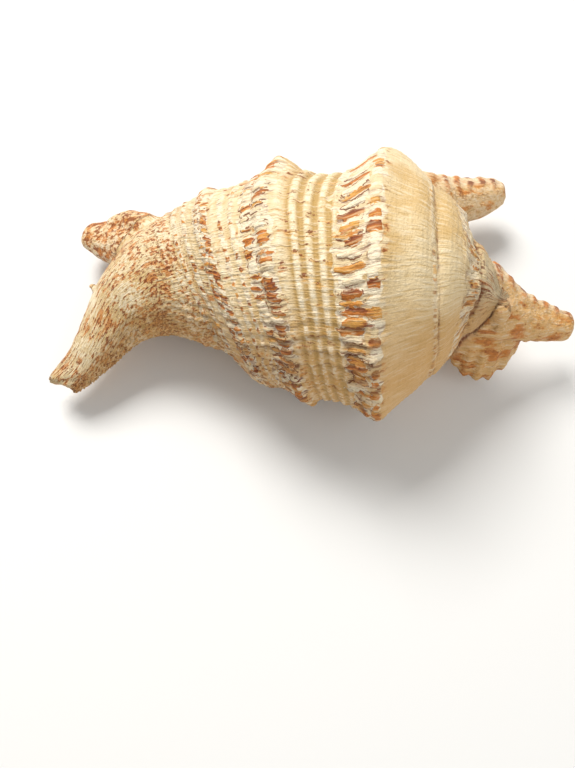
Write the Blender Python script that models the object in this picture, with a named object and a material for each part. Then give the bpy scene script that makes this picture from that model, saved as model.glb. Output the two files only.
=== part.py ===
"""A spider conch shell lying on its aperture, modelled as one solid.

Metres, +Z up, the table at Z = 0 and the origin under the middle of the shell. +X runs along the shell,
from the siphonal canal to the spire. -Y is the columella side and +Y the side of the outer lip.
The sizes below are millimetres in the shell's own layout, before it is centred. An angle round the body
is measured from straight up, positive towards the columella side and negative towards the lip.
"""

import math

import bmesh
import bpy
import numpy as np

MM = 0.001
CENTRE_X = 0.27
CENTRE_Y = 6.23

# Growth sections of the body, from the tip of the canal to the apex: centre x, y and z, half width,
# half height, and the turn in degrees about the vertical.
BODY_STATIONS = (
    (-87.0, -30.0, 11.0, 6.1, 3.8, 62),
    (-81.0, -25.0, 12.5, 6.6, 6.0, 60),
    (-77.5, -20.5, 14.0, 7.4, 7.6, 54),
    (-74.4, -16.1, 15.0, 8.7, 9.0, 46),
    (-68.2, -6.4, 18.0, 12.1, 11.5, 40),
    (-63.1, -2.3, 20.0, 14.4, 14.0, 32),
    (-52.0, 3.6, 23.0, 20.6, 17.0, 22),
    (-37.0, 3.8, 26.0, 26.8, 22.0, 17),
    (-26.4, -1.3, 28.0, 32.0, 28.0, 15),
    (-14.9, -1.2, 30.0, 35.4, 31.0, 10),
    (-5.4, -1.2, 31.0, 37.8, 34.0, 6),
    (6.7, -3.4, 32.0, 36.8, 34.6, 1),
    (13.3, -4.4, 33.0, 37.6, 35.6, -1),
    (22.5, -3.2, 34.0, 40.2, 36.8, -4),
    (33.6, -3.8, 35.5, 36.0, 35.0, -5),
    (40.3, -4.6, 37.0, 30.8, 29.0, -6),
    (46.6, -5.0, 38.0, 23.4, 24.0, -7),
    (51.6, -7.2, 39.0, 14.3, 17.0, -9),
    (56.2, -8.8, 40.0, 9.1, 11.0, -9),
    (60.1, -11.4, 40.0, 2.9, 3.0, -12),
)
BODY_LEAN = 8.0
BODY_POINTS = 48
# Spans of the body and how many growth sections each has: more where the relief is fine.
BODY_SPANS = (
    (-87.0, -52.0, 9),
    (-52.0, -33.0, 6),
    (-33.0, -5.0, 14),
    (-5.0, 16.0, 16),
    (16.0, 38.0, 10),
    (38.0, 60.1, 13),
)

# Knobs on the spiral ridges: place along the shell, angle, height, half length, half width in degrees.
KNOBS = (
    (25.2, -64, 4.0, 7.2, 16),
    (31.0, -60, 2.0, 5.0, 14),
    (22.5, -22, 1.4, 5.5, 12),
    (22.5, 18, 2.2, 6.0, 16),
    (22.5, 60, 1.6, 5.5, 13),
    (24.2, 108, 3.6, 8.0, 18),
    (-3.2, -62, 4.2, 5.0, 12),
    (-10.5, 12, 0.8, 4.0, 10),
    (-9.0, 94, 1.6, 4.0, 8),
    (-5.4, 119, 2.8, 5.0, 10),
    (-26.0, -62, 2.8, 4.2, 9),
    (-26.4, 117, 2.2, 4.5, 10),
)
# The spiral bands curve towards the canal over the back. Each row gives an angle and the places where
# the third band, the second band and the near edge of the shoulder band cross it.
BAND_LINES = (
    (-90, -22.0, -2.0, 17.0),
    (-62, -25.0, -4.5, 15.5),
    (-33, -28.0, -9.0, 12.5),
    (-12, -29.3, -10.5, 11.2),
    (25, -29.3, -10.7, 11.2),
    (60, -27.0, -10.0, 12.0),
    (90, -25.0, -9.0, 14.0),
    (115, -20.0, -6.0, 14.5),
    (140, -18.0, -5.0, 15.0),
)
# The same lines, with the two ends of the stretch that curves, where the bands would cross if straight.
BAND_ENDS = (-48.0, 25.3)
STRAIGHT_LINES = (-48.0, -26.4, -5.4, 12.0, 25.3)
# Ridges that run round the body with the bands: straightened place, height, half length.
RIDGES = (
    (-33.0, 0.7, 1.6),
    (-26.4, 1.4, 2.6),
    (-20.5, 0.6, 1.5),
    (-15.5, 0.7, 1.5),
    (-11.0, 0.6, 1.4),
    (-5.4, 1.8, 3.2),
    (22.5, 1.4, 5.0),
    (43.5, 0.9, 2.4),
    (53.5, 1.2, 2.0),
)
CORD_FIRST = 2.2
CORD_PITCH = 3.25
CORD_COUNT = 4
CORD_HEIGHT = 0.8
# Suture grooves: place along the shell, depth, half length.
SUTURES = (
    (39.2, 1.0, 0.9),
    (50.6, 2.2, 1.1),
)

CANAL_END = -42.0
CANAL_DEPTH = 0.62
CANAL_HALF_ANGLE = 26.0
FLOOR_HEIGHT = 0.9
FLOOR_BLEND = 2.0
# Places under the body that wear flat on the table: x, y, depth, half length, half width.
BODY_FEET = (
    (24.0, -21.0, 6.0, 9.0, 6.0),
    (-23.0, -8.0, 5.5, 9.0, 6.0),
)

# Cross-sections of the outer lip: x, the y of its inner edge, margin y, margin z, height of the underside
# next to the margin, and the y and z where its upper face leaves the body.
LIP_STATIONS = (
    (-66.0, 17.0, 29.0, 13.0, 9.0, 20.0, 19.0),
    (-59.0, 9.0, 33.5, 10.5, 5.0, 17.0, 25.0),
    (-51.0, 8.0, 38.0, 7.5, 1.5, 18.5, 29.0),
    (-41.0, 8.0, 43.0, 5.0, -1.2, 22.0, 34.0),
    (-28.0, 8.0, 47.0, 6.0, 1.2, 25.0, 38.0),
    (-14.0, 8.0, 50.0, 6.5, 1.6, 29.0, 40.0),
    (2.0, 7.5, 53.0, 6.0, 1.0, 30.0, 42.0),
    (18.0, 7.0, 54.5, 5.0, -1.2, 30.0, 44.0),
    (30.0, 7.0, 54.5, 7.0, 1.0, 28.0, 43.0),
    (40.0, 8.0, 53.0, 10.0, 4.0, 23.0, 40.0),
    (48.0, 14.0, 50.0, 13.0, 8.0, 28.0, 32.0),
    (55.0, 28.0, 46.0, 16.5, 12.0, 34.0, 25.0),
)
LIP_SECTIONS = 20
LIP_BEAD = 1.8

# Projecting digits: centre x, y and z, half width, half thickness, and roll in degrees.
POSTERIOR_FINGER = (
    (44.0, -7.0, 37.0, 10.0, 8.0, -15),
    (52.0, -7.6, 36.0, 11.6, 7.4, -22),
    (59.0, -9.4, 33.5, 11.6, 6.4, -26),
    (66.0, -11.0, 29.5, 10.0, 5.2, -28),
    (73.3, -11.3, 26.0, 8.2, 4.4, -28),
    (82.0, -11.4, 22.0, 6.8, 3.8, -25),
    (90.0, -11.3, 19.5, 5.2, 3.2, -20),
)
LIP_FINGER = (
    (22.0, 26.0, 38.0, 9.0, 8.0, 0),
    (31.0, 33.0, 31.0, 10.5, 9.5, 0),
    (42.0, 38.0, 24.0, 10.6, 10.0, 0),
    (52.5, 40.8, 19.5, 9.4, 8.8, 0),
    (60.5, 42.8, 17.5, 8.4, 8.0, 0),
    (67.5, 45.0, 16.5, 7.5, 7.2, 0),
    (71.0, 46.2, 16.0, 6.4, 6.2, 0),
)
CANAL_FINGER_STUB = (
    (-48.0, 14.0, 21.0, 14.0, 12.0, 0),
    (-60.0, 19.5, 18.2, 12.0, 10.2, 0),
    (-69.0, 24.4, 15.6, 9.2, 8.2, 0),
    (-77.4, 28.1, 12.8, 7.6, 6.0, 0),
    (-81.5, 29.6, 12.0, 6.4, 5.0, 0),
)
CANAL_FINGER_RIDGE = (
    (-42.0, 12.0, 28.0, 8.0, 7.0, 0),
    (-53.0, 20.5, 25.6, 6.8, 5.8, 0),
    (-60.0, 26.6, 24.2, 5.4, 5.0, 0),
    (-65.5, 29.6, 21.6, 4.8, 4.8, 0),
    (-70.5, 30.4, 18.5, 4.6, 4.6, 0),
    (-74.0, 29.8, 15.0, 4.2, 4.2, 0),
)
SIDE_STUB_NEAR_CANAL = (
    (-24.0, 21.0, 31.0, 7.0, 6.0, 0),
    (-26.0, 29.0, 22.5, 8.5, 6.8, 0),
    (-28.0, 38.0, 13.5, 9.0, 6.6, 0),
    (-29.5, 45.5, 8.4, 7.6, 5.4, 0),
    (-30.5, 50.0, 6.6, 5.2, 4.0, 0),
)
SIDE_STUB_MIDDLE = (
    (-3.0, 26.5, 36.0, 8.0, 6.8, 0),
    (0.0, 33.5, 25.5, 9.0, 7.2, 0),
    (3.0, 42.0, 15.5, 9.6, 6.8, 0),
    (6.0, 50.3, 9.2, 8.0, 5.6, 0),
    (7.5, 55.2, 6.6, 5.4, 4.0, 0),
)
CANAL_SPUR = (
    (-70.0, -1.0, 18.5, 3.5, 3.0, 0),
    (-75.5, 3.0, 18.5, 2.2, 2.0, 0),
    (-78.3, 5.2, 18.5, 1.0, 1.0, 0),
)
FINGER_POINTS = 11
# Frilled flange below the posterior finger: root x, y and z, then edge x, y and z, and half thickness.
FLANGE_STATIONS = (
    (48.0, -14.0, 27.0, 50.0, -21.0, 13.0, 1.2),
    (53.0, -14.0, 28.0, 54.0, -24.0, 10.0, 1.4),
    (59.0, -14.0, 28.0, 59.5, -25.5, 8.5, 1.4),
    (65.0, -13.0, 27.0, 65.0, -26.0, 8.0, 1.3),
    (70.0, -12.0, 25.0, 70.0, -22.5, 9.5, 1.2),
    (74.0, -11.0, 24.0, 74.5, -16.0, 14.0, 1.0),
)
# Rough callus over the apex: centre x, y and z, and the half length, width and height.
APEX_LUMPS = (
    (55.5, -5.5, 39.5, 6.0, 9.5, 7.5),
    (60.0, -1.0, 36.5, 4.5, 5.0, 5.0),
    (60.5, -14.0, 37.5, 4.0, 4.5, 5.0),
    (61.5, -17.5, 33.5, 2.4, 2.8, 2.8),
)

# The hollow of the last whorl and its slit-shaped mouth.
WALL = 4.2
HOLLOW_SPANS = (
    (-47.0, -36.0, 5),
    (-36.0, 30.0, 9),
    (30.0, 42.0, 5),
)
HOLLOW_MIDDLE = -4.0
HOLLOW_REACH = 46.5
HOLLOW_FROM_ANGLE = 110.0
HOLLOW_TO_ANGLE = -150.0
# The radius of the inner wall, as a share of the section: at the mouth and where the hollow runs out.
COLUMELLA_SHARE = 0.25
INNER_WHORL_SHARE = 0.72
MOUTH_LIP_SIDE = -15.0
MOUTH_COLUMELLA_SIDE = -2.5
MOUTH_DROP = 4.0
# The stretch over which the mouth swings in line with the canal groove.
MOUTH_SWING = (-48.0, -22.0)

SHELL_COLOUR = (0.76, 0.58, 0.38, 1.0)
SHELL_ROUGHNESS = 0.55


def clear_scene():
    for item in list(bpy.data.objects):
        bpy.data.objects.remove(item, do_unlink=True)


def shell_material():
    material = bpy.data.materials.new("shell")
    material.use_nodes = True
    surface = material.node_tree.nodes["Principled BSDF"]
    surface.inputs["Base Color"].default_value = SHELL_COLOUR
    surface.inputs["Roughness"].default_value = SHELL_ROUGHNESS
    surface.inputs["Metallic"].default_value = 0.0
    return material


def bump(distance, reach):
    """A rounded hump: 1 at no distance, fading out over the reach."""
    return np.exp(-((distance / reach) ** 2))


def angle_gap(angles, centre):
    """The gap in degrees between angles round the body, the short way."""
    return (angles - centre + 180.0) % 360.0 - 180.0


def through(stations, at):
    """Reads a smooth curve through the stations at one place along their first column."""
    table = np.array(stations, float)
    places = table[:, 0]
    steps = np.diff(places)[:, None]
    slopes = np.diff(table, axis=0) / steps
    same_way = slopes[:-1] * slopes[1:] > 0
    mean = 2 * slopes[:-1] * slopes[1:] / np.where(same_way, slopes[:-1] + slopes[1:], 1.0)
    tangents = np.vstack([slopes[:1], np.where(same_way, mean, 0.0), slopes[-1:]])
    i = min(max(int(np.searchsorted(places, at)) - 1, 0), len(places) - 2)
    h = places[i + 1] - places[i]
    t = min(max((at - places[i]) / h, 0.0), 1.0)
    return (
        (2 * t**3 - 3 * t**2 + 1) * table[i]
        + (t**3 - 2 * t**2 + t) * h * tangents[i]
        + (3 * t**2 - 2 * t**3) * table[i + 1]
        + (t**3 - t**2) * h * tangents[i + 1]
    )


def spread(spans):
    """Places along the shell, each span cut into its number of steps."""
    places = [spans[0][0]]
    for start, end, steps in spans:
        places.extend(start + (end - start) * (k + 1) / steps for k in range(steps))
    return places


def section_axes(turn):
    """The sideways and upward directions of a growth section turned about the vertical."""
    turn, lean = math.radians(turn), math.radians(BODY_LEAN)
    along = np.array([math.cos(turn) * math.cos(lean), math.sin(turn) * math.cos(lean), math.sin(lean)])
    side = np.array([math.sin(turn), -math.cos(turn), 0.0])
    return side, np.cross(side, along)


def straightened(place, angles):
    """The place that each point would have if the spiral bands ran straight across the back."""
    angle, *lines = np.array(BAND_LINES, float).T
    crossings = np.column_stack([np.interp(angles, angle, line) for line in lines])
    near, far = BAND_ENDS
    return np.array([np.interp(place, (near, *row, far), STRAIGHT_LINES) for row in crossings])


def body_relief(place, angles):
    """Height of the knobs, ridges, cords and sutures at a place, for each angle round the body."""
    height = np.zeros_like(angles)
    for x, angle, tall, long, wide in KNOBS:
        height += tall * bump(place - x, long) * bump(angle_gap(angles, angle), wide)
    straight = place
    if BAND_ENDS[0] < place < BAND_ENDS[1]:
        straight = straightened(place, angles)
    lines = sum(tall * bump(straight - x, long) for x, tall, long in RIDGES)
    for k in range(CORD_COUNT):
        lines += CORD_HEIGHT * bump(straight - CORD_FIRST - k * CORD_PITCH, CORD_PITCH / 3.2)
    lines -= sum(deep * bump(place - x, long) for x, deep, long in SUTURES)
    worn = np.clip((150.0 - np.abs(angles)) / 30.0, 0.0, 1.0)
    return height + lines * worn


def rest_on_floor(points):
    """Flattens the underside of the body just above the table, down to it where it has worn."""
    x, y, z = points.T
    lifted = FLOOR_HEIGHT + FLOOR_BLEND * np.log1p(np.exp((z - FLOOR_HEIGHT) / FLOOR_BLEND))
    z = np.where(z < 20.0, lifted, z)
    for foot_x, foot_y, deep, long, wide in BODY_FEET:
        z = z - deep * bump(x - foot_x, long) * bump(y - foot_y, wide) * np.clip((16.0 - z) / 8.0, 0, 1)
    return np.column_stack([x, y, z])


def body_section(place):
    _, y, z, half_width, half_height, turn = through(BODY_STATIONS, place)
    side, up = section_axes(turn)
    angles = np.linspace(-180.0, 180.0, BODY_POINTS, endpoint=False)
    across = half_width * np.sin(np.radians(angles))
    rise = half_height * np.cos(np.radians(angles))
    canal = np.clip((CANAL_END - place) / 8.0, 0.0, 1.0) * CANAL_DEPTH
    inward = 1.0 - canal * bump(angle_gap(angles, 180.0), CANAL_HALF_ANGLE)
    radius = np.hypot(across, rise)
    grow = inward * (1.0 + body_relief(place, angles) / radius)
    points = np.array([place, y, z]) + np.outer(across * grow, side) + np.outer(rise * grow, up)
    return rest_on_floor(points)


def hollow_section(place):
    """The room inside the last whorl, narrowing as it winds back, with its mouth down to the table."""
    _, y, z, half_width, half_height, turn = through(BODY_STATIONS, place)
    side, up = section_axes(turn)
    round_off = math.sqrt(max(1.0 - ((place - HOLLOW_MIDDLE) / HOLLOW_REACH) ** 2, 0.02))
    core = COLUMELLA_SHARE * half_height
    wide = core + (half_width - WALL - core) * min(1.0, 1.6 * round_off)
    tall = core + (half_height - WALL - core) * min(1.0, 1.6 * round_off)
    outer = np.radians(np.linspace(HOLLOW_FROM_ANGLE, HOLLOW_TO_ANGLE, 17))
    outline = [(wide * math.sin(a), tall * math.cos(a)) for a in outer]
    in_line, clear = MOUTH_SWING
    swung = min(max((place - in_line) / (clear - in_line), 0.0), 1.0)
    middle = (MOUTH_LIP_SIDE + MOUTH_COLUMELLA_SIDE) / 2 * swung
    half_mouth = (MOUTH_COLUMELLA_SIDE - MOUTH_LIP_SIDE) / 2 * min(1.0, 1.3 * round_off)
    outline.append((middle - half_mouth, -(z + MOUTH_DROP)))
    outline.append((middle + half_mouth, -(z + MOUTH_DROP)))
    inner = np.radians(np.linspace(-190.0, HOLLOW_FROM_ANGLE, 13))
    shares = np.clip((np.degrees(inner) + 90.0) / (HOLLOW_FROM_ANGLE + 90.0), 0.0, 1.0)
    for a, share in zip(inner, shares):
        across = core + (wide - core) * share * INNER_WHORL_SHARE
        rise = core + (tall - core) * share * INNER_WHORL_SHARE
        outline.append((across * math.sin(a), rise * math.cos(a)))
    return np.array([np.array([place, y, z]) + u * side + w * up for u, w in outline])


def lip_section(place):
    """The outer lip: a thick flared plate with a rounded bead along its margin, merging into the body."""
    x, inner_y, margin_y, margin_z, under_z, top_y, top_z = through(LIP_STATIONS, place)
    reach, span, drop = margin_y - inner_y, margin_y - top_y, top_z - margin_z
    outline = [
        (inner_y, under_z + 2.5),
        (inner_y + reach * 0.35, under_z + 3.2),
        (inner_y + reach * 0.68, under_z + 2.2),
        (inner_y + reach * 0.83, under_z + 0.2),
        (margin_y - LIP_BEAD, under_z + 0.6),
        (margin_y, margin_z - 0.8),
        (margin_y - 0.4, margin_z + 2.0),
        (margin_y - LIP_BEAD, margin_z + 3.8),
        (top_y + span * 0.62, margin_z + 4.0 + drop * 0.1),
        (top_y + span * 0.36, margin_z + 4.0 + drop * 0.28),
        (top_y + span * 0.14, margin_z + 3.0 + drop * 0.58),
        (top_y, top_z),
        ((top_y + inner_y) / 2, top_z + 1.0),
        (inner_y, top_z - 1.0),
    ]
    return np.array([(x, y, z) for y, z in outline])


def flange_section(station):
    """A thin plate from the finger's underside to the frilled edge, rounded there."""
    root, edge, thin = np.array(station[:3]), np.array(station[3:6]), station[6]
    way = (edge - root) / np.linalg.norm(edge - root)
    face = np.cross(way, (1.0, 0.0, 0.0))
    face /= np.linalg.norm(face)
    middle = root + (edge - root) * 0.5 + face * 1.5
    return np.array([
        root + face * (thin + 1.2),
        middle + face * thin,
        edge + face * thin * 0.7,
        edge + way * thin,
        edge - face * thin * 0.7,
        middle - face * thin,
        root - face * (thin + 1.2),
    ])


def finger_sections(stations, points=FINGER_POINTS):
    """Oval sections along a digit, closed by a rounded end."""
    table = np.array(stations, float)
    centres = table[:, :3]
    ways = np.gradient(centres, axis=0)
    sections = []
    for centre, way, (wide, thick, roll) in zip(centres, ways, table[:, 3:]):
        sections.append(oval(centre, way, wide, thick, roll, points))
    wide, thick, roll = table[-1, 3:]
    way = ways[-1] / np.linalg.norm(ways[-1])
    for lift in (35, 65):
        shrink, reach = math.cos(math.radians(lift)), math.sin(math.radians(lift))
        centre = centres[-1] + way * thick * 0.9 * reach
        sections.append(oval(centre, way, wide * shrink, thick * shrink, roll, points))
    return sections


def oval(centre, way, wide, thick, roll, points):
    way = way / np.linalg.norm(way)
    side = np.cross(way, (0.0, 0.0, 1.0))
    side /= np.linalg.norm(side)
    up = np.cross(side, way)
    turn = math.radians(roll)
    side, up = side * math.cos(turn) + up * math.sin(turn), up * math.cos(turn) - side * math.sin(turn)
    angles = np.linspace(0, 2 * math.pi, points, endpoint=False)
    return centre + np.outer(wide * np.cos(angles), side) + np.outer(thick * np.sin(angles), up)


def skin(name, sections, material):
    """Joins sections with the same number of points into one closed body with its faces outwards."""
    model = bmesh.new()
    centring = np.array([CENTRE_X, CENTRE_Y, 0.0])
    rows = [[model.verts.new((p - centring) * MM) for p in section] for section in sections]
    for near, far in zip(rows, rows[1:]):
        for k in range(len(near)):
            after = (k + 1) % len(near)
            model.faces.new((near[k], near[after], far[after], far[k]))
    model.faces.new(rows[0])
    model.faces.new(rows[-1])
    bmesh.ops.recalc_face_normals(model, faces=model.faces)
    return finish(name, model, material)


def finish(name, model, material):
    bmesh.ops.triangulate(model, faces=model.faces)
    mesh = bpy.data.meshes.new(name)
    model.to_mesh(mesh)
    model.free()
    mesh.materials.append(material)
    mesh.shade_smooth()
    item = bpy.data.objects.new(name, mesh)
    bpy.context.collection.objects.link(item)
    return item


def lump(name, station, material):
    x, y, z, long, wide, tall = station
    model = bmesh.new()
    bmesh.ops.create_icosphere(model, subdivisions=2, radius=1.0)
    centre = np.array([x - CENTRE_X, y - CENTRE_Y, z])
    for vert in model.verts:
        vert.co = (centre + np.array(vert.co) * (long, wide, tall)) * MM
    return finish(name, model, material)


def table_block(name, material):
    """A block whose top is the table, which takes off what would reach below it."""
    model = bmesh.new()
    bmesh.ops.create_cube(model, size=1.0)
    for vert in model.verts:
        vert.co.x *= 0.4
        vert.co.y *= 0.4
        vert.co.z = (vert.co.z - 0.5) * 0.04
    return finish(name, model, material)


def combine(body, other, operation):
    """Adds a Boolean of another mesh to the body and keeps that mesh out of sight."""
    step = body.modifiers.new(other.name, "BOOLEAN")
    step.operation = operation
    step.solver = "EXACT"
    step.object = other
    other.hide_render = True
    other.display_type = "WIRE"


def build_shell():
    material = shell_material()
    shell = skin("shell", [body_section(x) for x in spread(BODY_SPANS)], material)
    lip_places = spread(((LIP_STATIONS[0][0], LIP_STATIONS[-1][0], LIP_SECTIONS),))
    additions = [skin("outer_lip", [lip_section(x) for x in lip_places], material)]
    digits = {
        "posterior_finger": POSTERIOR_FINGER,
        "lip_finger": LIP_FINGER,
        "canal_finger_stub": CANAL_FINGER_STUB,
        "canal_finger_ridge": CANAL_FINGER_RIDGE,
        "side_stub_near_canal": SIDE_STUB_NEAR_CANAL,
        "side_stub_middle": SIDE_STUB_MIDDLE,
        "canal_spur": CANAL_SPUR,
    }
    for name, stations in digits.items():
        additions.append(skin(name, finger_sections(stations), material))
    additions.append(skin("flange", [flange_section(s) for s in FLANGE_STATIONS], material))
    for k, station in enumerate(APEX_LUMPS):
        additions.append(lump(f"apex_lump_{k + 1}", station, material))
    for addition in additions:
        combine(shell, addition, "UNION")
    hollow = skin("hollow", [hollow_section(x) for x in spread(HOLLOW_SPANS)], material)
    combine(shell, hollow, "DIFFERENCE")
    combine(shell, table_block("table_block", material), "DIFFERENCE")
    return shell


clear_scene()
build_shell()
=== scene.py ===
# %% [markdown]
# A spider conch shell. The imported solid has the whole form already, so this lesson dresses it: it turns
# the solid into a fine skin, raises the small relief that a hand would feel, and mixes the shell's colours
# from values that follow the way the animal grew.

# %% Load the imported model
import math
import bpy
import numpy as np
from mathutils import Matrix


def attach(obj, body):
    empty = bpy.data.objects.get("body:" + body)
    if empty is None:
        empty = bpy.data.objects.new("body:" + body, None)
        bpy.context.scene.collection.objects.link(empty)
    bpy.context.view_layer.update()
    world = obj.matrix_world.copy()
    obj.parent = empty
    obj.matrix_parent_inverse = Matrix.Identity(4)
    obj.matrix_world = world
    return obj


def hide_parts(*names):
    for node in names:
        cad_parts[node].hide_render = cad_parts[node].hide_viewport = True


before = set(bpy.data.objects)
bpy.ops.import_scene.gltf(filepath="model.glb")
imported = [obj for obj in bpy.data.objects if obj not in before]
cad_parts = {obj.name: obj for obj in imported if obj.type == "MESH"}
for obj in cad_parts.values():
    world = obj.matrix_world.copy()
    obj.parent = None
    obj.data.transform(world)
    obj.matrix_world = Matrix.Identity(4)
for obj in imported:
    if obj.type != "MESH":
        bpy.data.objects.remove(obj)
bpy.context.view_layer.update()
MM = 0.001

# %% [markdown]
# The camera looks steeply down from the columella side, as the photograph was taken. The shell is 185 mm
# long and fills nearly the whole width of an upright frame, so the lens is a short one held close.

# %% Camera
CAMERA_AT = (-0.00787, -0.11323, 0.2233)
CAMERA_DOWN = 70.0
bpy.ops.object.camera_add(location=CAMERA_AT, rotation=(math.radians(90.0 - CAMERA_DOWN), 0.0, 0.0))
camera = bpy.context.object
camera.data.sensor_fit = "VERTICAL"
camera.data.sensor_height = 36.0
camera.data.lens = 30.0
camera.data.clip_start = 0.01
bpy.context.scene.camera = camera
bpy.context.scene.view_settings.view_transform = "Standard"
print("camera at", tuple(camera.location))

# %% [markdown]
# A shell has no flat places. The solid is made of some ten thousand flat triangles, which would show as
# facets. A voxel remesh gives an even grid of small faces that can carry relief about a millimetre high,
# and a few rounds of smoothing take the facets away. Subdividing the loose triangles would keep their
# pattern, so it isn't used here.

# %% A fine skin from the solid
VOXEL = 0.80 * MM
SMOOTH_ROUNDS = 4
cad_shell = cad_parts["shell"]
bpy.ops.object.select_all(action="DESELECT")
shell = cad_shell.copy()
shell.data = cad_shell.data.copy()
shell.name = "shell_surface"
bpy.context.collection.objects.link(shell)
bpy.context.view_layer.objects.active = shell
shell.select_set(True)
bpy.ops.object.mode_set(mode="EDIT")
bpy.ops.mesh.select_all(action="SELECT")
bpy.ops.mesh.remove_doubles(threshold=0.01 * MM)
bpy.ops.object.mode_set(mode="OBJECT")
remesh = shell.modifiers.new("even_faces", "REMESH")
remesh.mode = "VOXEL"
remesh.voxel_size = VOXEL
bpy.ops.object.modifier_apply(modifier="even_faces")
relax = shell.modifiers.new("relax", "SMOOTH")
relax.factor = 0.5
relax.iterations = SMOOTH_ROUNDS
bpy.ops.object.modifier_apply(modifier="relax")
print("skin faces", len(shell.data.polygons))

# %% [markdown]
# Everything on a shell follows its growth: bands run round the whorls, and bars cross them. So each
# point of the skin gets two growth coordinates, its place along the shell and its angle round the body.
# They come from the same tilted oval sections that the solid was lofted through.

# %% Growth sections of the body
CENTRE = np.array([0.27, 6.23, 0.0])
BODY_LEAN = 8.0
# Centre x, y and z, half width, half height, and the turn in degrees about the vertical, in millimetres.
BODY_STATIONS = np.array([
    (-87.0, -30.0, 11.0, 6.1, 3.8, 62),
    (-81.0, -25.0, 12.5, 6.6, 6.0, 60),
    (-77.5, -20.5, 14.0, 7.4, 7.6, 54),
    (-74.4, -16.1, 15.0, 8.7, 9.0, 46),
    (-68.2, -6.4, 18.0, 12.1, 11.5, 40),
    (-63.1, -2.3, 20.0, 14.4, 14.0, 32),
    (-52.0, 3.6, 23.0, 20.6, 17.0, 22),
    (-37.0, 3.8, 26.0, 26.8, 22.0, 17),
    (-26.4, -1.3, 28.0, 32.0, 28.0, 15),
    (-14.9, -1.2, 30.0, 35.4, 31.0, 10),
    (-5.4, -1.2, 31.0, 37.8, 34.0, 6),
    (6.7, -3.4, 32.0, 36.8, 34.6, 1),
    (13.3, -4.4, 33.0, 37.6, 35.6, -1),
    (22.5, -3.2, 34.0, 40.2, 36.8, -4),
    (33.6, -3.8, 35.5, 36.0, 35.0, -5),
    (40.3, -4.6, 37.0, 30.8, 29.0, -6),
    (46.6, -5.0, 38.0, 23.4, 24.0, -7),
    (51.6, -7.2, 39.0, 14.3, 17.0, -9),
    (56.2, -8.8, 40.0, 9.1, 11.0, -9),
    (60.1, -11.4, 40.0, 2.9, 3.0, -12),
], float)


def section_table(places):
    """The centre, half sizes and directions of the section at each place."""
    column = [np.interp(places, BODY_STATIONS[:, 0], BODY_STATIONS[:, k]) for k in range(1, 6)]
    y, z, wide, tall, turn = column
    turn, lean = np.radians(turn), math.radians(BODY_LEAN)
    along = np.stack([np.cos(turn) * math.cos(lean), np.sin(turn) * math.cos(lean),
                      np.full_like(turn, math.sin(lean))], 1)
    side = np.stack([np.sin(turn), -np.cos(turn), np.zeros_like(turn)], 1)
    return np.stack([places, y, z], 1) - CENTRE, np.stack([wide, tall], 1), along, side, np.cross(side, along)


def growth_coordinates(points):
    """Place in millimetres, angle in degrees and share of the section's radius, for points in millimetres."""
    places = np.linspace(-87.0, 60.0, 491)
    centre, half, along, side, up = section_table(places)
    found = []
    for part in np.array_split(points, max(1, len(points) // 15000)):
        ahead = part @ along.T - (centre * along).sum(1)
        u = (part @ side.T - (centre * side).sum(1)) / half[:, 0]
        w = (part @ up.T - (centre * up).sum(1)) / half[:, 1]
        reach = np.hypot(u, w)
        crossing = np.zeros(ahead.shape, bool)
        crossing[:, :-1] = (ahead[:, :-1] > 0) & (ahead[:, 1:] <= 0)
        crossing[:, 0] |= ahead[:, 0] <= 0
        crossing[:, -1] |= ahead[:, -1] > 0
        k = np.argmin(np.where(crossing, reach, 1e6), axis=1)
        row = np.arange(len(part))
        after = np.minimum(k + 1, len(places) - 1)
        gone = ahead[row, k] - ahead[row, after]
        t = np.clip(np.where(np.abs(gone) > 1e-6, ahead[row, k] / np.where(gone == 0, 1, gone), 0), 0, 1)
        mix = lambda table: table[row, k] * (1 - t) + table[row, after] * t
        found.append(np.stack([places[k] + (places[after] - places[k]) * t,
                               np.degrees(np.arctan2(mix(u), mix(w))), mix(reach)], 1))
    return np.concatenate(found).T


count = len(shell.data.vertices)
flat = np.empty(count * 3)
shell.data.vertices.foreach_get("co", flat)
points = flat.reshape(-1, 3) / MM
flat = np.empty(count * 3)
shell.data.vertex_normals.foreach_get("vector", flat)
normals = flat.reshape(-1, 3)
place, angle, reach = growth_coordinates(points)
print("places from", place.min().round(1), "to", place.max().round(1), "mm")
print("points on the body", int((np.abs(reach - 1) < 0.1).sum()))

# %% [markdown]
# The spiral bands bend towards the canal over the back of the shell. A straightened place takes that bend
# out, so a band can be said as one number wherever it is on the shell.

# %% Straightened place
BAND_ANGLES = (-90, -62, -33, -12, 25, 60, 90, 115, 140)
THIRD_BAND = (-22.0, -25.0, -28.0, -29.3, -29.3, -27.0, -25.0, -20.0, -18.0)
SECOND_BAND = (-2.0, -4.5, -9.0, -10.5, -10.7, -10.0, -9.0, -6.0, -5.0)
SHOULDER_EDGE = (17.0, 15.5, 12.5, 11.2, 11.2, 12.0, 14.0, 14.5, 15.0)
STRAIGHT = (-48.0, -26.4, -5.4, 12.0, 25.3)


def straightened(place, angle):
    knots = [np.full_like(place, STRAIGHT[0])]
    knots += [np.interp(angle, BAND_ANGLES, line) for line in (THIRD_BAND, SECOND_BAND, SHOULDER_EDGE)]
    knots += [np.full_like(place, STRAIGHT[-1])]
    straight = place.copy()
    for k in range(4):
        share = (place - knots[k]) / (knots[k + 1] - knots[k])
        inside = (share >= 0) & (share < 1)
        straight[inside] = (STRAIGHT[k] + share * (STRAIGHT[k + 1] - STRAIGHT[k]))[inside]
    return straight


straight = straightened(place, angle)
print("straightened places from", straight.min().round(1), "to", straight.max().round(1), "mm")

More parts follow.
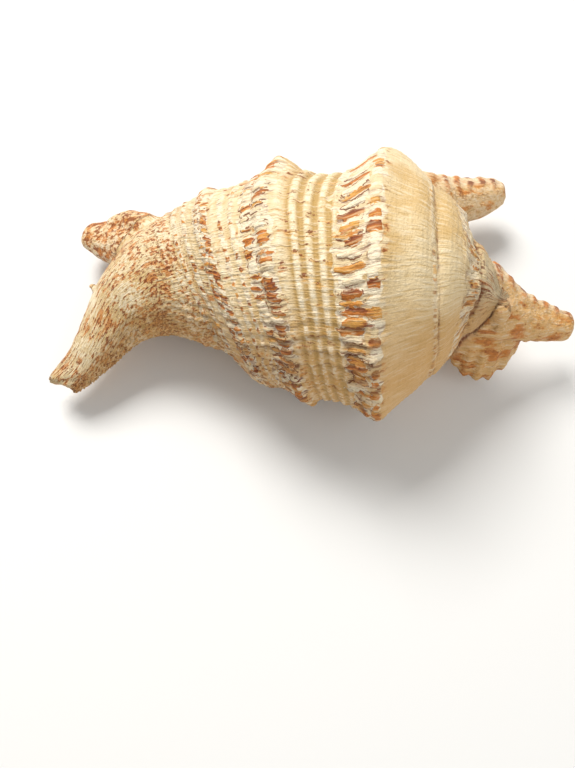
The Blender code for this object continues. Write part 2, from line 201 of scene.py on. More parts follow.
# %% [markdown]
# Relief is a sum of simple shapes: a soft step, a window between two steps, a hump round a line, and
# noise. The noise takes its chances from the numbers of a grid's cells, so each run gives the same shell.

# %% Soft steps, humps and noise for relief


def smooth_step(low, high, value):
    t = np.clip((value - low) / (high - low), 0, 1)
    return t * t * (3 - 2 * t)


def window(value, low, high, soft):
    """1 between low and high, fading over the soft width on either side."""
    return smooth_step(low - soft, low + soft, value) * (1 - smooth_step(high - soft, high + soft, value))


def hump(distance, width):
    return np.exp(-((distance / width) ** 2))


def lattice(cell, seed):
    """A repeatable random number from 0 to 1 for each whole-number cell."""
    mixed = (cell.astype(np.int64) * np.array([73856093, 19349663, 83492791])).sum(-1) + seed * 2654435761
    mixed = (mixed ^ (mixed >> 13)) * 1274126177 & 0xFFFFFFFF
    mixed = (mixed ^ (mixed >> 16)) * 2246822519 & 0xFFFFFFFF
    return ((mixed ^ (mixed >> 15)) & 0xFFFFFF) / float(0xFFFFFF)


def noise(points, size, seed):
    """Smooth noise from -1 to 1 whose lumps are about as big as size, a number or one for each axis."""
    p = points / np.asarray(size, float)
    base = np.floor(p)
    t = p - base
    t = t * t * (3 - 2 * t)
    total = np.zeros(len(p))
    for corner in range(8):
        bit = np.array([corner & 1, corner >> 1 & 1, corner >> 2 & 1])
        weight = np.prod(np.where(bit == 1, t, 1 - t), axis=1)
        total += weight * lattice(base + bit, seed)
    return total * 2 - 1


def layered(points, size, seed, layers=3):
    return sum(noise(points, np.asarray(size) / 2**k, seed + k) / 2**k for k in range(layers)) / 1.75


# %% [markdown]
# The bands carry bars: short thick ribs lying across the band, white, orange or red-brown, with a narrow
# crevice between each two that the material darkens as painted shadow. No two are alike, so each column of
# bars is laid out from a seeded list of widths, lengths and kinds. A bar is lens-shaped, and a point's depth
# in it says how high it stands.
# Painting them as an image would give colour without height, so they are worked out as shapes instead.
# Two columns run beside the sutures, so the sutures' lines come first.

# %% Where the sutures run
first_suture = np.interp(angle, (-60, -30, 0, 20, 35, 70, 115), (37.5, 38.3, 38.8, 39.8, 40.2, 41.7, 40.5))
second_suture = np.interp(angle, (-60, -40, -10, 15, 35, 115), (47.5, 48.5, 51.3, 52.0, 53.0, 47.0))
beside_first = place - first_suture
beside_second = place - second_suture
print("points near a suture", int(((np.abs(beside_first) < 1) | (np.abs(beside_second) < 1)).sum()))

# %% [markdown]
# Each column of bars follows one of these lines. Ragged ends come from moving both its edges by noise.
# Bars of unlike kinds tend to take turns, and towards the near side more of them are red-brown.

# %% Bars on the bands
# The line a column follows, both its edges on that line, mean width of a bar, height, share of white bars,
# share of orange ones (the rest are red-brown), and how strongly the column shows.
BAR_COLUMNS = (
    (straight, 11.6, 20.4, 2.8, 0.60, 0.50, 0.34, 1.0),
    (straight, 20.0, 24.8, 3.6, 0.22, 0.50, 0.32, 0.62),
    (straight, -13.0, -8.2, 1.7, 0.40, 0.48, 0.16, 1.0),
    (straight, -8.6, -3.0, 1.8, 0.55, 0.48, 0.16, 1.0),
    (straight, -29.4, -26.4, 1.6, 0.30, 0.60, 0.14, 1.0),
    (straight, -26.6, -23.0, 1.7, 0.42, 0.54, 0.12, 1.0),
    (straight, -20.0, -18.0, 2.0, 0.22, 0.80, 0.14, 0.6),
    (straight, -16.2, -14.2, 2.0, 0.22, 0.80, 0.14, 0.6),
    (straight, -35.0, -32.6, 2.1, 0.22, 0.66, 0.20, 0.6),
    (straight, -39.0, -36.8, 2.2, 0.20, 0.60, 0.24, 0.55),
    (beside_first, -1.6, 0.2, 1.9, 0.20, 0.62, 0.20, 0.42),
    (beside_second, -3.4, 0.6, 1.8, 0.36, 0.72, 0.16, 0.5),
)
BAND_RADIUS = 37.0
arc = np.radians(angle) * BAND_RADIUS
flow = np.stack([place, arc, np.zeros_like(arc)], 1)
bars = np.zeros(count)
bar_depth = np.full(count, -1.0)
tone = np.zeros(count)
bar_side = np.zeros(count)
bar_height = np.zeros(count)
for column, (line, low, high, width, height, white, orange, strength) in enumerate(BAR_COLUMNS):
    chance = np.random.default_rng(410 + column)
    centres = np.cumsum(width * chance.uniform(0.6, 1.5, 220)) - 125.0
    halves = width * chance.uniform(0.34, 0.62, 220)
    middles = (low + high) / 2 + (high - low) * chance.uniform(-0.12, 0.12, 220)
    lengths = (high - low) * chance.uniform(0.32, 0.56, 220)
    slants = chance.uniform(-0.12, 0.12, 220)
    wander = 0.5 * noise(flow, (3.5, 4.0, 1.0), 70 + column) + 0.25 * noise(flow, 1.4, 170 + column)
    at = arc + wander
    k = np.clip(np.searchsorted((centres[1:] + centres[:-1]) / 2, at), 0, 219)
    across = (at - centres[k] - slants[k] * (line - middles[k])) / halves[k]
    along_bar = (line - middles[k]) / lengths[k]
    depth = 1.0 - across**2 - np.abs(along_bar) ** 3
    ragged = 0.6 * noise(flow, (2.6, 1.5, 1.0), 270 + column)
    ragged = ragged + 0.4 * noise(flow, (1.8, 3.2, 1.0), 370 + column)
    inside = window(line + ragged * 0.36 * (high - low), low, high, 0.5)
    inside = inside * strength
    turns = 0.22 * (np.arange(220) % 2 * 2 - 1)
    pick = (chance.uniform(0, 1, 220) + turns)[k] + 0.18 * np.clip(angle / 60, -0.3, 1.2)
    kind = np.where(pick < white, 0.0, np.where(pick < white + orange, 0.5, 1.0))
    swell = chance.uniform(0.55, 1.2, 220)[k]
    taken = depth * inside > bar_depth * bars
    bar_depth = np.where(taken, depth, bar_depth)
    tone = np.where(taken, kind, tone)
    bar_side = np.where(taken, np.clip(across, -2, 2), bar_side)
    bars = np.maximum(bars, inside)
    bar_height += inside * height * (np.sqrt(np.clip(depth, 0, 1)) * swell * (1.1 - 0.3 * kind) - 0.3)
bar_depth = np.clip(bar_depth, -1, 1)
print("share of the skin in bars", (bars > 0.5).mean().round(3))

# %% [markdown]
# Between the second band and the shoulder run four pale cords, each with two fine crests. Finer cords fill
# the rest of the body. Above the shoulder the ramp has fine spiral threads. Faint growth lines cross all
# of them, and on the side near the viewer they rise into overlapping shingles.

# %% Cords, threads and growth lines
CORDS = (2.2, 5.45, 8.7, 11.95)
FINE_CORDS = (-44.5, -41.5, -38.0, -34.0, -31.2, -21.8, -19.0, -15.2, -1.4)
cord = sum(hump(straight - at, 1.0) for at in CORDS)
crest = sum(hump(straight - at + off, 0.34) for at in CORDS for off in (-0.5, 0.5))
fine_cord = sum(hump(straight - at, 0.85) for at in FINE_CORDS)
in_cords = window(straight, 0.2, 12.0, 0.8)
ramp = window(place, 25.8, 49.0, 0.8)
THREAD_PITCH = 1.45
threads = np.cos(2 * math.pi * (place + 0.3 * noise(flow, 7.0, 5)) / THREAD_PITCH)
growth_lines = layered(flow, (14.0, 1.5, 1.0), 30)
beads = noise(flow, (9.0, 1.7, 1.0), 33)
near_side = smooth_step(25.0, 75.0, angle)
SHINGLE_PITCH = 4.6
shingle = (arc + 1.4 * noise(flow, (5.0, 6.0, 1.0), 37)) / SHINGLE_PITCH % 1.0
back = 1 - smooth_step(128.0, 142.0, np.abs(angle))
on_body = 1 - smooth_step(1.15, 1.26, reach)
outward = (normals * (points - section_table(place)[0])).sum(1)
inside_hollow = smooth_step(0.0, 3.0, -outward) * (1 - smooth_step(0.93, 0.98, reach))
on_body = on_body * (1 - inside_hollow)
dressed = on_body * back
whorl = 1 - smooth_step(24.0, 28.0, place)
print("share of the skin that is dressed body", (dressed > 0.5).mean().round(3))

# %% [markdown]
# Now the shapes are added up, each with its own height. Sculpting by hand could give as lively a surface,
# but a sum can be changed by one number and comes out the same each time.

# %% Relief of the whorls
# Heights in millimetres. BAR_LIFT multiplies the heights in the list of bars, and the two values for
# beads say how much a cord's height varies along it.
BAR_LIFT = 1.5
CORD_HEIGHT = 0.42
CREST_HEIGHT = 0.24
CORD_BEADS = 0.35
FINE_CORD_HEIGHT = 0.42
FINE_CORD_BEADS = 0.9
THREAD_HEIGHT = 0.08
RAMP_LINE_HEIGHT = 0.05
LINE_HEIGHT = 0.10
SHINGLE_HEIGHT = 1.2
SHINGLE_ON_BARS = 0.8
relief = bar_height * BAR_LIFT
relief = relief + in_cords * (CORD_HEIGHT * cord + CREST_HEIGHT * crest) * (1 + CORD_BEADS * beads)
relief = relief + (1 - 0.5 * bars) * fine_cord * FINE_CORD_HEIGHT * (1 + FINE_CORD_BEADS * beads)
relief = relief + ramp * (THREAD_HEIGHT * threads + RAMP_LINE_HEIGHT * growth_lines)
relief = relief + LINE_HEIGHT * growth_lines * (1 - ramp)
relief = relief + whorl * near_side * (SHINGLE_HEIGHT + SHINGLE_ON_BARS * bars) * (shingle - 0.5)
print("share of the skin on the near side", (near_side * dressed > 0.5).mean().round(3))

# %% [markdown]
# The suture is where one whorl lies on the one before. Here it has grown in wrinkled, overlapping scales.
# The neck and canal carry flow lines. Relief is weaker on top of two knobs, which are worn round.

# %% Sutures, neck and worn knobs
SUTURE_DEPTH = 0.45
SCALE_HEIGHTS = (0.25, 0.75)
GROOVE_DEPTH = 0.6
WRINKLE_HEIGHT = 0.7
NECK_LINE_HEIGHT = 0.24
KNOB_ANGLE = -62.0
KNOB_WEAR = 0.6
relief = relief - SUTURE_DEPTH * hump(beside_first - 0.6, 0.5)
scales = layered(flow, (2.2, 3.6, 1.0), 21)
relief = relief + hump(beside_second + 0.6, 1.9) * (SCALE_HEIGHTS[0] + SCALE_HEIGHTS[1] * scales)
relief = relief - GROOVE_DEPTH * hump(beside_second - 1.4, 0.6)
wrinkled = np.clip(window(beside_second, -4.0, 3.0, 1.2) + 0.4 * hump(beside_first, 1.2), 0, 1)
relief = relief + wrinkled * WRINKLE_HEIGHT * layered(flow, (1.7, 6.0, 1.0), 121)
neck = 1 - smooth_step(-40.0, -34.0, place)
relief = relief + neck * NECK_LINE_HEIGHT * layered(points, (7.0, 2.4, 2.4), 44)
knob = hump(angle - KNOB_ANGLE, 14.0) * (hump(straight + 5.0, 5.0) + hump(straight + 26.4, 5.0))
relief = relief * dressed * (1 - KNOB_WEAR * np.clip(knob, 0, 1))
print("relief on the body", relief.min().round(2), "to", relief.max().round(2), "mm")

# %% [markdown]
# Off the body there are no growth coordinates to follow, so the digits and the rough apex take noise in
# the shell's own millimetres. The upper finger's rim has cross stripes, and a crack runs by the flange.
# Near the table the relief fades out, which keeps the worn facets flat.

# %% Digits, apex, rim and crack
DIGIT_HEIGHT = 0.60
APEX_HEIGHT = 0.75
PIT_HEIGHT = 0.05
STRIPE_PITCH = 5.0
STRIPE_HEIGHT = 0.25
CRACK_DEPTH = 0.6
x, y, z = points.T
loose = (1 - dressed) * (1 - inside_hollow)
apex = np.clip(smooth_step(54.0, 57.0, place) + (1 - on_body) * smooth_step(46.0, 52.0, x), 0, 1)
apex = apex * (1 - smooth_step(60.0, 66.0, x))
apex = apex * (1 - smooth_step(8.0, 14.0, y)) * smooth_step(-24.0, -18.0, y)
relief = relief + loose * DIGIT_HEIGHT * layered(points, (5.5, 2.8, 2.8), 50)
relief = relief + apex * APEX_HEIGHT * layered(points, (4.0, 2.2, 2.2), 61)
relief = relief + PIT_HEIGHT * layered(points, 2.2, 90) * (1 - inside_hollow)

upper_rim = loose * smooth_step(-0.35, 0.25, normals[:, 1])
upper_rim = upper_rim * smooth_step(3.0, 9.0, z) * smooth_step(40.0, 50.0, x)
stripe = np.cos(2 * math.pi * (x + 1.2 * noise(points, 4.0, 131)) / STRIPE_PITCH)
relief = relief + upper_rim * STRIPE_HEIGHT * stripe
crack = window(reach, 1.10, 1.24, 0.06) * window(x, 45.0, 62.0, 2.0)
crack = crack * smooth_step(20.0, 45.0, angle) * (z > 6)
relief = relief - CRACK_DEPTH * crack
near_table = smooth_step(0.2, 3.0, z)
moved = points + normals * (relief * near_table)[:, None]
print("relief", relief.min().round(2), "to", relief.max().round(2), "mm")

# %% [markdown]
# Two places are ragged: the edge of the flange under the spire finger is frilled, and the end of the
# canal is broken off in splinters. A Displace modifier moves points along their normals, which at a thin
# edge would thicken it. So here the points are drawn out or back along directions that suit each place.

# %% The frilled flange and the broken canal
FRILL_PITCH = 4.6
FRILL_REACH = (0.45, 1.2)
TOOTH_REACH = (2.2, 1.1)
flange = (1 - smooth_step(-25.0, -20.0, y)) * window(x, 46.0, 76.0, 1.5)
flange = flange * (1 - smooth_step(20.0, 26.0, z)) * (1 - on_body)
frill = FRILL_REACH[0] * np.cos(2 * math.pi * x / FRILL_PITCH)
frill = frill + FRILL_REACH[1] * noise(points, (2.6, 60.0, 60.0), 81)
moved += (flange * frill)[:, None] * np.array([0.0, -0.85, -0.5])
splinter = (1 - smooth_step(-86.0, -76.0, place)) * on_body
tooth = TOOTH_REACH[0] * noise(points, (60.0, 2.6, 2.6), 83)
tooth = tooth + TOOTH_REACH[1] * noise(points, (60.0, 1.3, 1.3), 84)
moved += (splinter * tooth)[:, None] * np.array([-0.75, -0.6, 0.0])
moved[:, 2] = np.maximum(moved[:, 2], 0.0)
shell.data.vertices.foreach_set("co", (moved * MM).ravel())
bpy.ops.object.select_all(action="DESELECT")
shell.select_set(True)
bpy.ops.object.shade_smooth()
print("points in the frill", int((flange > 0.5).sum()), "and in the splinters", int((splinter > 0.5).sum()))

# %% [markdown]
# The same numbers that shaped the relief tell the material where it is, so colour and form agree. They
# are stored on the skin's points as attributes. A UV map would hold only two of them and needs a seam.
# Distances along and round the body are stored too.

# %% Values the material reads
below = smooth_step(122.0, 140.0, np.abs(angle)) * (1 - smooth_step(1.15, 1.5, reach))
honeyed = np.maximum(near_side * dressed, loose * (1 - smooth_step(-10.0, 12.0, y)))
values = {
    "along": np.where(place < -40.0, -40.0 + (place + 40.0) * 1.7, straight) * MM,
    "wrinkled": wrinkled * dressed,
    "upper_rim": upper_rim,
    "crack": crack,
    "under": below * (1 - inside_hollow),
    "speckled": loose * (1 - smooth_step(-45.0, -35.0, x)) * smooth_step(3.0, 8.0, z),
    "honey": honeyed * smooth_step(2.0, 6.0, z),
    "marks": upper_rim * smooth_step(0.1, 0.7, stripe - 0.9 * np.clip(-normals[:, 1] * 2, -0.3, 1)),
    "round": -np.radians(angle) * np.interp(place, (-87.0, -30.0), (12.0, BAND_RADIUS)) * MM,
    "bars": bars * dressed,
    "tone": tone,
    "bar_depth": bar_depth,
    "bar_side": bar_side,
    "cord": np.clip(cord, 0, 1) * dressed,
    "in_cords": in_cords * dressed,
    "fine_cord": np.clip(fine_cord, 0, 1) * dressed,
    "dressed": dressed,
    "ramp": ramp * dressed,
    "neck": neck * (1 - inside_hollow),
    "near_side": near_side * dressed,
    "hollow": inside_hollow,
    "digit": loose * (1 - apex) * smooth_step(3.0, 9.0, z),
    # Painted shade: the foot of each shingle, under the edge of the one above.
    "shingle_foot_shade": np.clip(1.2 - 7 * shingle, 0, 1) * near_side * whorl * dressed,
    "apex": apex * (1 - inside_hollow),
    # Painted shade: how far the relief sinks, which darkens the deep places.
    "low": np.clip(-relief * 1.6, 0, 1),
}
for name, value in values.items():
    layer = shell.data.attributes.new(name, "FLOAT", "POINT")
    layer.data.foreach_set("value", np.asarray(value, np.float32))
print("values", sorted(values))

# %% [markdown]
# Shader maths reads best as plain expressions, so one small class wraps a socket and lets Python's
# operators add the Math nodes. Any other node comes from one method.

# %% A socket that does sums


class Wire:
    def __init__(self, tree, socket):
        self.tree = tree
        self.socket = socket

    def sum(self, operation, *values):
        node = self.tree.nodes.new("ShaderNodeMath")
        node.operation = operation
        for k, value in enumerate(values):
            if isinstance(value, Wire):
                self.tree.links.new(value.socket, node.inputs[k])
            else:
                node.inputs[k].default_value = value
        return Wire(self.tree, node.outputs[0])

    def __add__(self, other): return self.sum("ADD", self, other)
    def __radd__(self, other): return self.sum("ADD", other, self)
    def __sub__(self, other): return self.sum("SUBTRACT", self, other)
    def __rsub__(self, other): return self.sum("SUBTRACT", other, self)
    def __mul__(self, other): return self.sum("MULTIPLY", self, other)

    def step(self, low, high):
        """0 below low, 1 above high and a soft rise between; low may be the larger."""
        node = self.tree.nodes.new("ShaderNodeMapRange")
        node.interpolation_type = "SMOOTHSTEP"
        flipped = low > high
        numbers = (high, low, 1.0, 0.0) if flipped else (low, high, 0.0, 1.0)
        for k, number in enumerate(numbers):
            node.inputs[k + 1].default_value = number
        self.tree.links.new(self.socket, node.inputs[0])
        return Wire(self.tree, node.outputs[0])


class Finish:
    """One material: its tree, and short ways to add nodes."""

    def __init__(self, name):
        self.material = bpy.data.materials.new(name)
        self.material.use_nodes = True
        self.tree = self.material.node_tree
        self.surface = self.tree.nodes["Principled BSDF"]

    def node(self, kind, output=0, settings=None, **sockets):
        made = self.tree.nodes.new("ShaderNode" + kind)
        for name, value in (settings or {}).items():
            setattr(made, name, value)
        for name, value in sockets.items():
            socket = made.inputs[name.replace("_", " ")]
            if isinstance(value, Wire):
                self.tree.links.new(value.socket, socket)
            else:
                socket.default_value = value
        return Wire(self.tree, made.outputs[output])

    def attribute(self, name):
        return self.node("Attribute", 2, {"attribute_name": name})

    def mix(self, factor, first, second):
        made = self.tree.nodes.new("ShaderNodeMix")
        made.data_type = "RGBA"
        for socket, value in ((made.inputs[0], factor), (made.inputs[6], first), (made.inputs[7], second)):
            if isinstance(value, Wire):
                self.tree.links.new(value.socket, socket)
            else:
                socket.default_value = value
        return Wire(self.tree, made.outputs[2])

    def feed(self, name, wire):
        self.tree.links.new(wire.socket, self.surface.inputs[name])


def paint(red, green, blue):
    """A colour as seen on a screen, 0 to 255, as the linear light a shader works with."""
    return tuple(((v / 255 + 0.055) / 1.055) ** 2.4 for v in (red, green, blue)) + (1.0,)


# %% [markdown]
# The shell's colour is laid in the lime as it grows. The ground is a warm cream, the valleys between the
# cords are tan, and the bars are white, orange or red-brown. Everywhere else the brown comes as short
# dashes that lie along the shell.

# %% The shell's colours
CREAM = paint(218, 196, 154)
GOLD = paint(204, 172, 118)
TAN = paint(182, 148, 88)
WHITE = paint(232, 218, 190)
HONEY = paint(206, 158, 94)
AMBER = paint(206, 152, 72)
ORANGE = paint(192, 114, 42)
RED_BROWN = paint(120, 60, 28)
# Used only for painted shade: in wrinkle troughs, beside the bars, at the shingles' feet, in the crack and in
# deep places.
SHADE_DARK = paint(112, 58, 26)
PEACH = paint(220, 184, 140)
GLAZE = paint(226, 186, 150)
print("colour of the ground", tuple(round(v, 3) for v in CREAM[:3]))

# %% [markdown]
# The material starts by reading the values that the skin carries, with one Attribute node for each. Each
# is a mask from 0 to 1, or a number such as a bar's depth, and most coats of colour are laid by them.

# %% What the material reads
finish = Finish("shell")
bars_here = finish.attribute("bars")
tone_here = finish.attribute("tone")
depth_here = finish.attribute("bar_depth")
in_cords_here = finish.attribute("in_cords")
cord_here = finish.attribute("cord")
fine_cord_here = finish.attribute("fine_cord")
dressed_here = finish.attribute("dressed")
ramp_here = finish.attribute("ramp")
near_here = finish.attribute("near_side")
hollow_here = finish.attribute("hollow")
digit_here = finish.attribute("digit")
apex_here = finish.attribute("apex")
# Painted shade in the deep places is laid by this value.
recess_shade_here = finish.attribute("low")
neck_here = finish.attribute("neck")
wrinkled_here = finish.attribute("wrinkled")
rim_here = finish.attribute("upper_rim")
marks_here = finish.attribute("marks")
# Painted shade at the foot of each shingle is laid by this value.
shingle_foot_shade_here = finish.attribute("shingle_foot_shade")
crack_here = finish.attribute("crack")
under_here = finish.attribute("under")
speckled_here = finish.attribute("speckled")
honey_here = finish.attribute("honey")
print("values read", len([node for node in finish.tree.nodes if node.type == "ATTRIBUTE"]))

# %% [markdown]
# On the body the noises are read in growth coordinates, so that the marks follow the whorls. Off it they
# are read in Object coordinates. A direction scaled down draws a noise out along it, which makes dashes;
# on the neck the grain is shorter.

# %% Noises along and across the shell
spot = finish.node("TexCoord", 3)
grown = finish.node("CombineXYZ", 0, X=finish.attribute("along"), Y=finish.attribute("round"))
grain_at = finish.mix(dressed_here.step(0.3, 0.7), spot, grown)
long_grain = finish.node("Mapping", 0, Vector=grain_at, Scale=(0.40, 1.0, 1.0))
short_grain = finish.node("Mapping", 0, Vector=grain_at, Scale=(0.85, 1.35, 1.35))
drawn_out = finish.mix(neck_here.step(0.3, 0.9) * 0.75, long_grain, short_grain)
hair_lines = finish.node("Mapping", 0, Vector=grain_at, Scale=(0.14, 1.0, 1.0))
round_lines = finish.node("Mapping", 0, Vector=grain_at, Scale=(1.0, 0.22, 0.6))
broad = finish.node("TexNoise", 0, Vector=spot, Scale=42.0, Detail=3.0)
patches = finish.node("TexNoise", 0, Vector=drawn_out, Scale=260.0, Detail=3.0, Roughness=0.55)
dashes = finish.node("TexNoise", 0, Vector=drawn_out, Scale=560.0, Detail=3.0, Roughness=0.6)
hairs = finish.node("TexNoise", 0, Vector=hair_lines, Scale=1300.0, Detail=2.0)
folds = finish.node("TexNoise", 0, Vector=round_lines, Scale=900.0, Detail=2.0)
zones = finish.node("TexNoise", 0, Vector=spot, Scale=90.0, Detail=2.0)
fine = finish.node("TexNoise", 0, Vector=spot, Scale=1500.0, Detail=3.0)
side_here = finish.attribute("bar_side") + (dashes - 0.5) * 0.8
print("nodes so far", len(finish.tree.nodes))

# %% [markdown]
# The ground is laid in coats, the broad ones first: cream and gold, peach on the digits, honey on the near
# side, tan valleys, white crests, growth lines with a painted highlight on their tops and painted shade in
# their troughs, then orange clouds and red-brown flecks, and last the smooth underside.

# %% The ground colour
plain = 1.0 - bars_here
smooth = 1.0 - ramp_here
valley = in_cords_here * (1.0 - cord_here).step(0.25, 0.8)
busy = neck_here * 0.05 + apex_here * 0.05 + near_here * 0.015 + speckled_here * 0.03 + (zones - 0.5) * 0.25
ground = finish.mix(broad.step(0.40, 0.60), CREAM, GOLD)
ground = finish.mix(digit_here * 0.6, ground, PEACH)
ground = finish.mix(honey_here * 0.65, ground, HONEY)
ground = finish.mix(valley, ground, TAN)
ground = finish.mix(in_cords_here * (dashes * 0.4 + patches * 0.6).step(0.54, 0.62) * 0.8, ground, AMBER)
crests = in_cords_here * cord_here.step(0.6, 0.9)
ground = finish.mix(crests * (dashes * 0.7 + fine * 0.3).step(0.54, 0.44), ground, WHITE)
# Painted highlight and painted shade: where the hair grain stands high in the bump it is painted white, and
# where it sinks it is painted tan.
ground = finish.mix((hairs - 0.5).step(0.0, 0.2) * 0.5, ground, WHITE)
ground = finish.mix((0.5 - hairs).step(0.04, 0.18) * 0.6, ground, TAN)
ground = finish.mix(fine_cord_here * dashes.step(0.54, 0.42) * 0.7, ground, WHITE)
ground = finish.mix(neck_here * (dashes * 0.6 + zones * 0.4).step(0.47, 0.40) * 0.7, ground, WHITE)
clouds = patches * 0.55 + dashes * 0.45 + busy
calm = plain * smooth * (1.0 - digit_here * 0.5 + speckled_here * 0.4) * (1.0 - under_here * 0.9)
ground = finish.mix(digit_here * (patches * 0.6 + dashes * 0.4).step(0.46, 0.60) * 0.6, ground, AMBER)
ground = finish.mix(digit_here * (patches * 0.7 + fine * 0.3).step(0.51, 0.61) * 0.6, ground, ORANGE)
worn_marks = honey_here * (1.0 - dressed_here) * (patches * 0.7 + zones * 0.3).step(0.52, 0.58)
ground = finish.mix(worn_marks * 0.6, ground, finish.mix(dashes.step(0.45, 0.60), ORANGE, RED_BROWN))
ground = finish.mix(calm * clouds.step(0.555, 0.62) * (1.0 - in_cords_here) * 0.75, ground, ORANGE)
flecks = (dashes * 0.7 + fine * 0.3 + busy * 0.8).step(0.575, 0.62) * (clouds.step(0.50, 0.57) * 0.8 + 0.2)
ground = finish.mix(calm * flecks * 0.85, ground, RED_BROWN)
ground = finish.mix(rim_here.step(0.5, 1.0) * 0.4, ground, WHITE)
stripe_colour = finish.mix(patches.step(0.4, 0.6), ORANGE, RED_BROWN)
ground = finish.mix(marks_here * dashes.step(0.36, 0.50) * 0.9, ground, stripe_colour)
# Painted shade: the troughs of the wrinkle folds, which sink in the bump, are darkened.
ground = finish.mix(wrinkled_here * (0.5 - folds).step(0.03, 0.09) * 0.75, ground, SHADE_DARK)
ground = finish.mix(near_here * 0.35, ground, HONEY)
ground = finish.mix(under_here * 0.7, ground, finish.mix(broad.step(0.4, 0.6), PEACH, GLAZE))
print("nodes so far", len(finish.tree.nodes))

# %% [markdown]
# A bar takes its colour from its kind: white, orange or red-brown. A red-brown one turns orange towards
# one side. On that side each bar has a white rim, a painted highlight, and just outside it lies a dark
# crevice line, a painted shadow. Noise breaks up every edge.

# %% The bars' colour
# Painted shade: dark lines where the hair and dash noises, which also feed the bump, are low.
trough_shade = (0.5 - hairs).step(0.05, 0.13) * 0.8 + (0.5 - dashes).step(0.06, 0.13) * 0.7
uneven = depth_here + (fine - 0.5) * 0.8 + (dashes - 0.5) * 1.5 + (patches - 0.5) * 0.8
kinds = tone_here + (patches - 0.5) * 1.3 + (dashes - 0.5) * 0.7 - (zones - 0.5) * 0.5
warm = finish.mix(side_here.step(-0.5, 0.5), RED_BROWN, ORANGE)
warm = finish.mix(kinds.step(0.68, 0.84), finish.mix(patches.step(0.36, 0.62), ORANGE, AMBER), warm)
bar_colour = finish.mix(kinds.step(0.22, 0.32), finish.mix(patches.step(0.36, 0.52), CREAM, WHITE), warm)
# Painted highlight: a white rim along one side of each bar.
bar_colour = finish.mix(side_here.step(0.60, 0.75) * 0.8, bar_colour, WHITE)
# Painted shadow: a dark line just outside that rim, at the foot of the bar's edge.
crevice_shadow = side_here.step(0.25, 0.5) * uneven.step(-0.8, -0.6) * uneven.step(0.16, -0.02)
crevice_shadow = crevice_shadow * bars_here.step(0.55, 0.9) * (dashes.step(0.40, 0.50) * 0.8 + 0.2)
barred = finish.mix(uneven.step(-0.30, 0.30), finish.mix(patches.step(0.45, 0.60), WHITE, CREAM), bar_colour)
# Painted highlight: the bars turn cream where the hair grain stands high in the bump.
barred = finish.mix((hairs - 0.5).step(0.02, 0.12) * 0.4, barred, CREAM)
barred = finish.mix(near_here * patches.step(0.40, 0.56) * 0.5, barred, HONEY)
# The painted shade in the grain's troughs goes on here.
barred = finish.mix(trough_shade * (0.50 + near_here * 0.35), barred, RED_BROWN)
# The painted shadow along each bar goes on here.
barred = finish.mix(crevice_shadow * 0.9, barred, finish.mix(dashes.step(0.42, 0.58), SHADE_DARK, RED_BROWN))
ground = finish.mix(bars_here.step(0.2, 0.6), ground, barred)
print("nodes so far", len(finish.tree.nodes))

# %% [markdown]
# Painted shade comes last: dark at the foot of each shingle and in the crack, and darker brown where the
# relief sinks. Then the glazed inside. The inside and the underside are smoother than the weathered back.
# Grain that is too fine for faces goes in as a bump.

# %% Painted shade, sheen and grain
# Painted shade: dark at the foot of each shingle and along the crack.
shingle_and_crack_shade = shingle_foot_shade_here * dashes.step(0.42, 0.52) + crack_here * folds.step(0.40, 0.52)
ground = finish.mix(shingle_and_crack_shade * 0.85, ground, SHADE_DARK)
recess_shade_colour = finish.mix(dashes.step(0.45, 0.60), RED_BROWN, SHADE_DARK)
# Painted shade: darker brown where the relief sinks.
ground = finish.mix(recess_shade_here.step(0.35, 0.9) * (0.35 + dashes.step(0.4, 0.6) * 0.45), ground, recess_shade_colour)
ground = finish.mix(hollow_here, ground, GLAZE)
finish.feed("Base Color", ground)
WEATHERED_ROUGHNESS = 0.52
SHINE = 0.3
finish.feed("Roughness", WEATHERED_ROUGHNESS - hollow_here * 0.2 - under_here * 0.15 + (fine - 0.5) * 0.2)
finish.surface.inputs["Specular IOR Level"].default_value = SHINE
bar_grain = (dashes - 0.5) * 1.0 + depth_here.step(-0.6, 0.6) * 0.25
growth_grain = hairs * (1.0 - ramp_here * 0.5) * (1.0 - hollow_here) * (1.0 - under_here * 0.7)
fold_grain = folds * (wrinkled_here + ramp_here * 0.35 + digit_here * 0.3)
grain = fine * 0.5 + fold_grain + growth_grain + bar_grain * bars_here
pores = finish.node("Bump", 0, Height=grain, Strength=0.9, Distance=0.0007)
finish.feed("Normal", pores)
print("material nodes", len(finish.tree.nodes))

# %% [markdown]
# The inside of the hollow and the underside don't need faces as small as the back does. A vertex group
# tells the Decimate modifier to take its faces from there, which keeps the piece light.

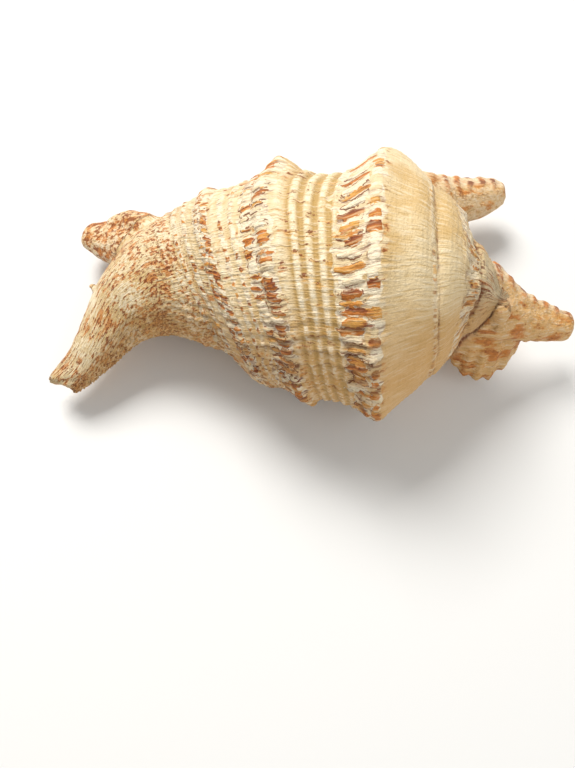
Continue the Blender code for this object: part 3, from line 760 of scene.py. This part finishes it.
# %% Fewer faces where nobody looks closely
FACE_BUDGET = 192000
hidden = np.clip(inside_hollow + (1 - smooth_step(3.0, 7.0, z)) + (1 - back) * 0.6, 0, 1)
group = shell.vertex_groups.new(name="hidden")
for step in range(1, 6):
    chosen = np.nonzero((hidden > step / 5 - 0.1) & (hidden <= step / 5 + 0.1))[0]
    group.add(chosen.tolist(), step / 5, "REPLACE")
triangles = sum(len(face.vertices) - 2 for face in shell.data.polygons)
thin_out = shell.modifiers.new("thin_out", "DECIMATE")
thin_out.vertex_group = "hidden"
thin_out.ratio = FACE_BUDGET / triangles
bpy.context.view_layer.objects.active = shell
bpy.ops.object.modifier_apply(modifier="thin_out")
shell.vertex_groups.clear()
print("triangles", triangles, "then", sum(len(face.vertices) - 2 for face in shell.data.polygons))

# %% [markdown]
# The skin now gets its material. It rides on the part's one body and takes the solid's place in the
# picture. The solid itself isn't changed: it keeps the sizes that the skin was made from.

# %% The piece stands for the solid
shell.data.materials.clear()
shell.data.materials.append(finish.material)
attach(shell, "root")
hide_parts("shell")
print("piece", shell.name, "stands for the solid shell")

# %% [markdown]
# The shell lies on a plain pale floor. One large soft light stands at the upper left, behind the shell, as
# daylight from a window does, and a weak one fills the other side. The shadows in the photograph have
# soft edges, and small lamps would make them hard.

# %% Floor and lights
bpy.ops.object.select_all(action="DESELECT")
bpy.ops.mesh.primitive_plane_add(size=4.0, location=(0.0, 0.0, 0.0))
floor = bpy.context.object
floor.name = "floor"
matt = Finish("pale_floor")
matt.surface.inputs["Base Color"].default_value = (0.72, 0.72, 0.71, 1.0)
matt.surface.inputs["Roughness"].default_value = 0.7
floor.data.materials.append(matt.material)


def soft_light(name, at, size, watts, colour):
    bpy.ops.object.light_add(type="AREA", location=at)
    lamp = bpy.context.object
    lamp.name = name
    lamp.data.size = size
    lamp.data.energy = watts
    lamp.data.color = colour
    lamp.rotation_euler = (-lamp.location).to_track_quat("-Z", "Y").to_euler()
    return lamp


soft_light("window", (-0.34, 0.60, 0.90), 0.5, 16.0, (1.0, 0.98, 0.95))
soft_light("room", (0.7, -0.6, 0.8), 1.2, 5.0, (1.0, 0.99, 0.97))
world = bpy.data.worlds.new("room_light")
bpy.context.scene.world = world
world.use_nodes = True
world.node_tree.nodes["Background"].inputs["Color"].default_value = (1.0, 0.99, 0.97, 1.0)
world.node_tree.nodes["Background"].inputs["Strength"].default_value = 0.42
